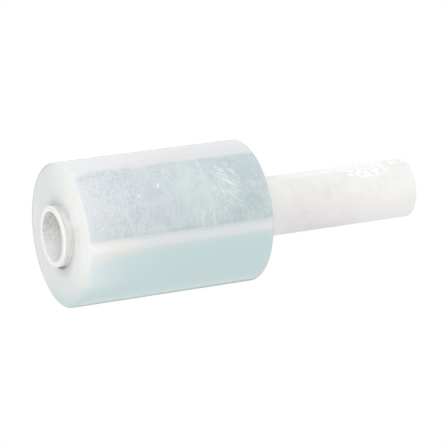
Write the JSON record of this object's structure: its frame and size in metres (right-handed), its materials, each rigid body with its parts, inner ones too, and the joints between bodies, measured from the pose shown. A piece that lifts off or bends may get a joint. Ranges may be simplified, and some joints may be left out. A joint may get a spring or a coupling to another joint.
{
  "type": "stretch wrap roll",
  "caption": "Mini roll of clear stretch wrap on a long white paper core, whose bare end is the handle.",
  "frame": {"origin": "centre of the end ring of the core's short stub, on which the roll stands", "axes": "+Z along the core, from the stub towards the free end of the handle"},
  "size_m": [0.0727, 0.0729, 0.2],
  "materials": {
    "paper": "matte",
    "film": "gloss"
  },
  "bodies": {
    "root": {"core_tube": "paper", "film_roll": "film"}
  },
  "joints": []
}
